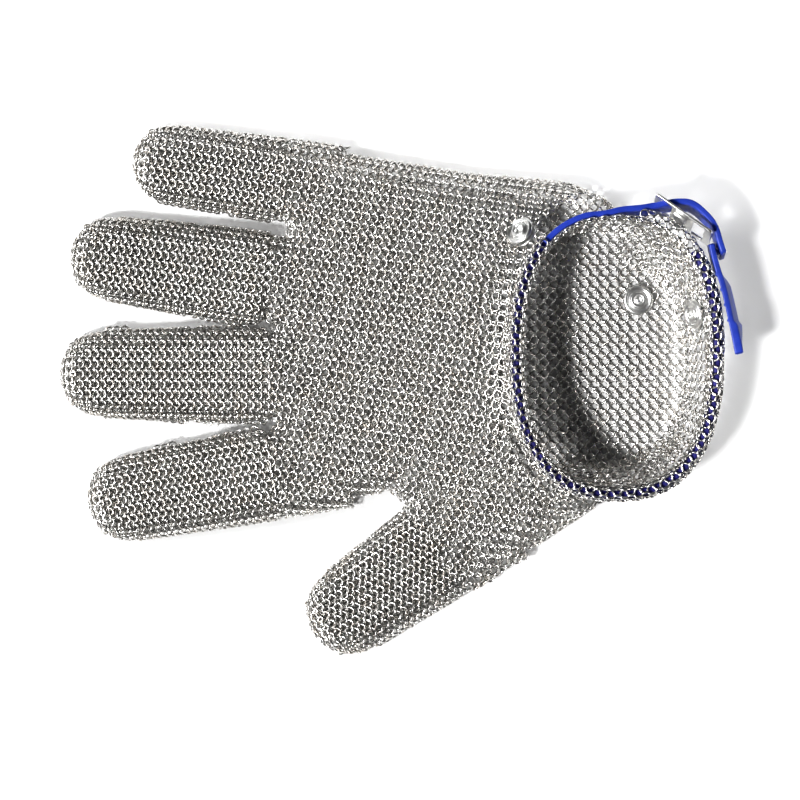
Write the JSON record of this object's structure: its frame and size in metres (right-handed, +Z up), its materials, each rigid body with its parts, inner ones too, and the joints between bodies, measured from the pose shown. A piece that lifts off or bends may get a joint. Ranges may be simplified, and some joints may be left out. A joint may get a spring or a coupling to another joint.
{
  "type": "steel ring mesh cut resistant glove",
  "caption": "Reversible steel ring-mesh glove with separate fingers and thumb, an open cuff, a polyurethane wrist strap threaded through the cuff rim, a buckle plate and snap buttons.",
  "frame": {"origin": "middle of the glove's footprint, on the surface it lies on", "axes": "+X from the fingertips towards the cuff, +Y towards the little finger's side, +Z up out of the surface"},
  "size_m": [0.2562, 0.2, 0.038],
  "materials": {
    "steel_mesh": "welded stainless rings, bright drawn wire",
    "steel_fittings": "polished stainless sheet and turned snap parts",
    "blue_strap": "moulded royal blue polyurethane, semi-gloss"
  },
  "bodies": {
    "hand": {"palm_panel": "steel_mesh", "back_panel": "steel_mesh", "cuff_wall": "steel_mesh", "cuff_hem": "steel_mesh", "strap_band": "blue_strap", "strap_arch": "blue_strap", "strap_tail_root": "blue_strap", "strap_stud": "steel_fittings", "buckle_plate": "steel_fittings", "buckle_lug": "steel_fittings", "palm_snap_cap": "steel_fittings", "palm_snap_washer": "steel_fittings", "palm_snap_post": "steel_fittings", "side_snap_cap": "steel_fittings", "side_snap_washer": "steel_fittings", "side_snap_post": "steel_fittings", "back_snap_cap": "steel_fittings", "back_snap_washer": "steel_fittings", "back_snap_post": "steel_fittings"},
    "little_base": {"little_base": "steel_mesh"},
    "little_tip": {"little_tip": "steel_mesh"},
    "ring_base": {"ring_base": "steel_mesh"},
    "ring_tip": {"ring_tip": "steel_mesh"},
    "middle_base": {"middle_base": "steel_mesh"},
    "middle_tip": {"middle_tip": "steel_mesh"},
    "index_base": {"index_base": "steel_mesh"},
    "index_tip": {"index_tip": "steel_mesh"},
    "thumb_base": {"thumb_base": "steel_mesh"},
    "thumb_tip": {"thumb_tip": "steel_mesh"},
    "strap_tail": {"strap_tail": "blue_strap"}
  },
  "joints": [
    {"name": "little_knuckle", "type": "hinge", "parent": "hand", "child": "little_base", "pos_m": [-0.05123, 0.07991, 0.0055], "axis": [0.1458, 0.9893, 0], "range_deg": [0, 70]},
    {"name": "little_middle", "type": "hinge", "parent": "little_base", "child": "little_tip", "pos_m": [-0.07498, 0.08341, 0.0055], "axis": [0.1458, 0.9893, 0], "range_deg": [0, 80]},
    {"name": "ring_knuckle", "type": "hinge", "parent": "hand", "child": "ring_base", "pos_m": [-0.06268, 0.04313, 0.0055], "axis": [0.1366, 0.9906, 0], "range_deg": [0, 70]},
    {"name": "ring_middle", "type": "hinge", "parent": "ring_base", "child": "ring_tip", "pos_m": [-0.0924, 0.04723, 0.0055], "axis": [0.1366, 0.9906, 0], "range_deg": [0, 80]},
    {"name": "middle_knuckle", "type": "hinge", "parent": "hand", "child": "middle_base", "pos_m": [-0.0632, 0.0057, 0.0055], "axis": [0.0077, 1, 0], "range_deg": [0, 70]},
    {"name": "middle_middle", "type": "hinge", "parent": "middle_base", "child": "middle_tip", "pos_m": [-0.0942, 0.00594, 0.0055], "axis": [0.0077, 1, 0], "range_deg": [0, 80]},
    {"name": "index_knuckle", "type": "hinge", "parent": "hand", "child": "index_base", "pos_m": [-0.05653, -0.0328, 0.0055], "axis": [-0.1726, 0.985, 0], "range_deg": [0, 70]},
    {"name": "index_middle", "type": "hinge", "parent": "index_base", "child": "index_tip", "pos_m": [-0.08608, -0.03798, 0.0055], "axis": [-0.1726, 0.985, 0], "range_deg": [0, 80]},
    {"name": "thumb_knuckle", "type": "hinge", "parent": "hand", "child": "thumb_base", "pos_m": [0.00706, -0.06507, 0.0055], "axis": [-0.5693, 0.8221, 0], "range_deg": [0, 70]},
    {"name": "thumb_middle", "type": "hinge", "parent": "thumb_base", "child": "thumb_tip", "pos_m": [-0.01185, -0.07817, 0.0055], "axis": [-0.5693, 0.8221, 0], "range_deg": [0, 80]},
    {"name": "strap_tail_bend", "type": "hinge", "parent": "hand", "child": "strap_tail", "pos_m": [0.11705, 0.0464, 0.0245], "axis": [0, 0, 1], "range_deg": [0, 60]}
  ]
}
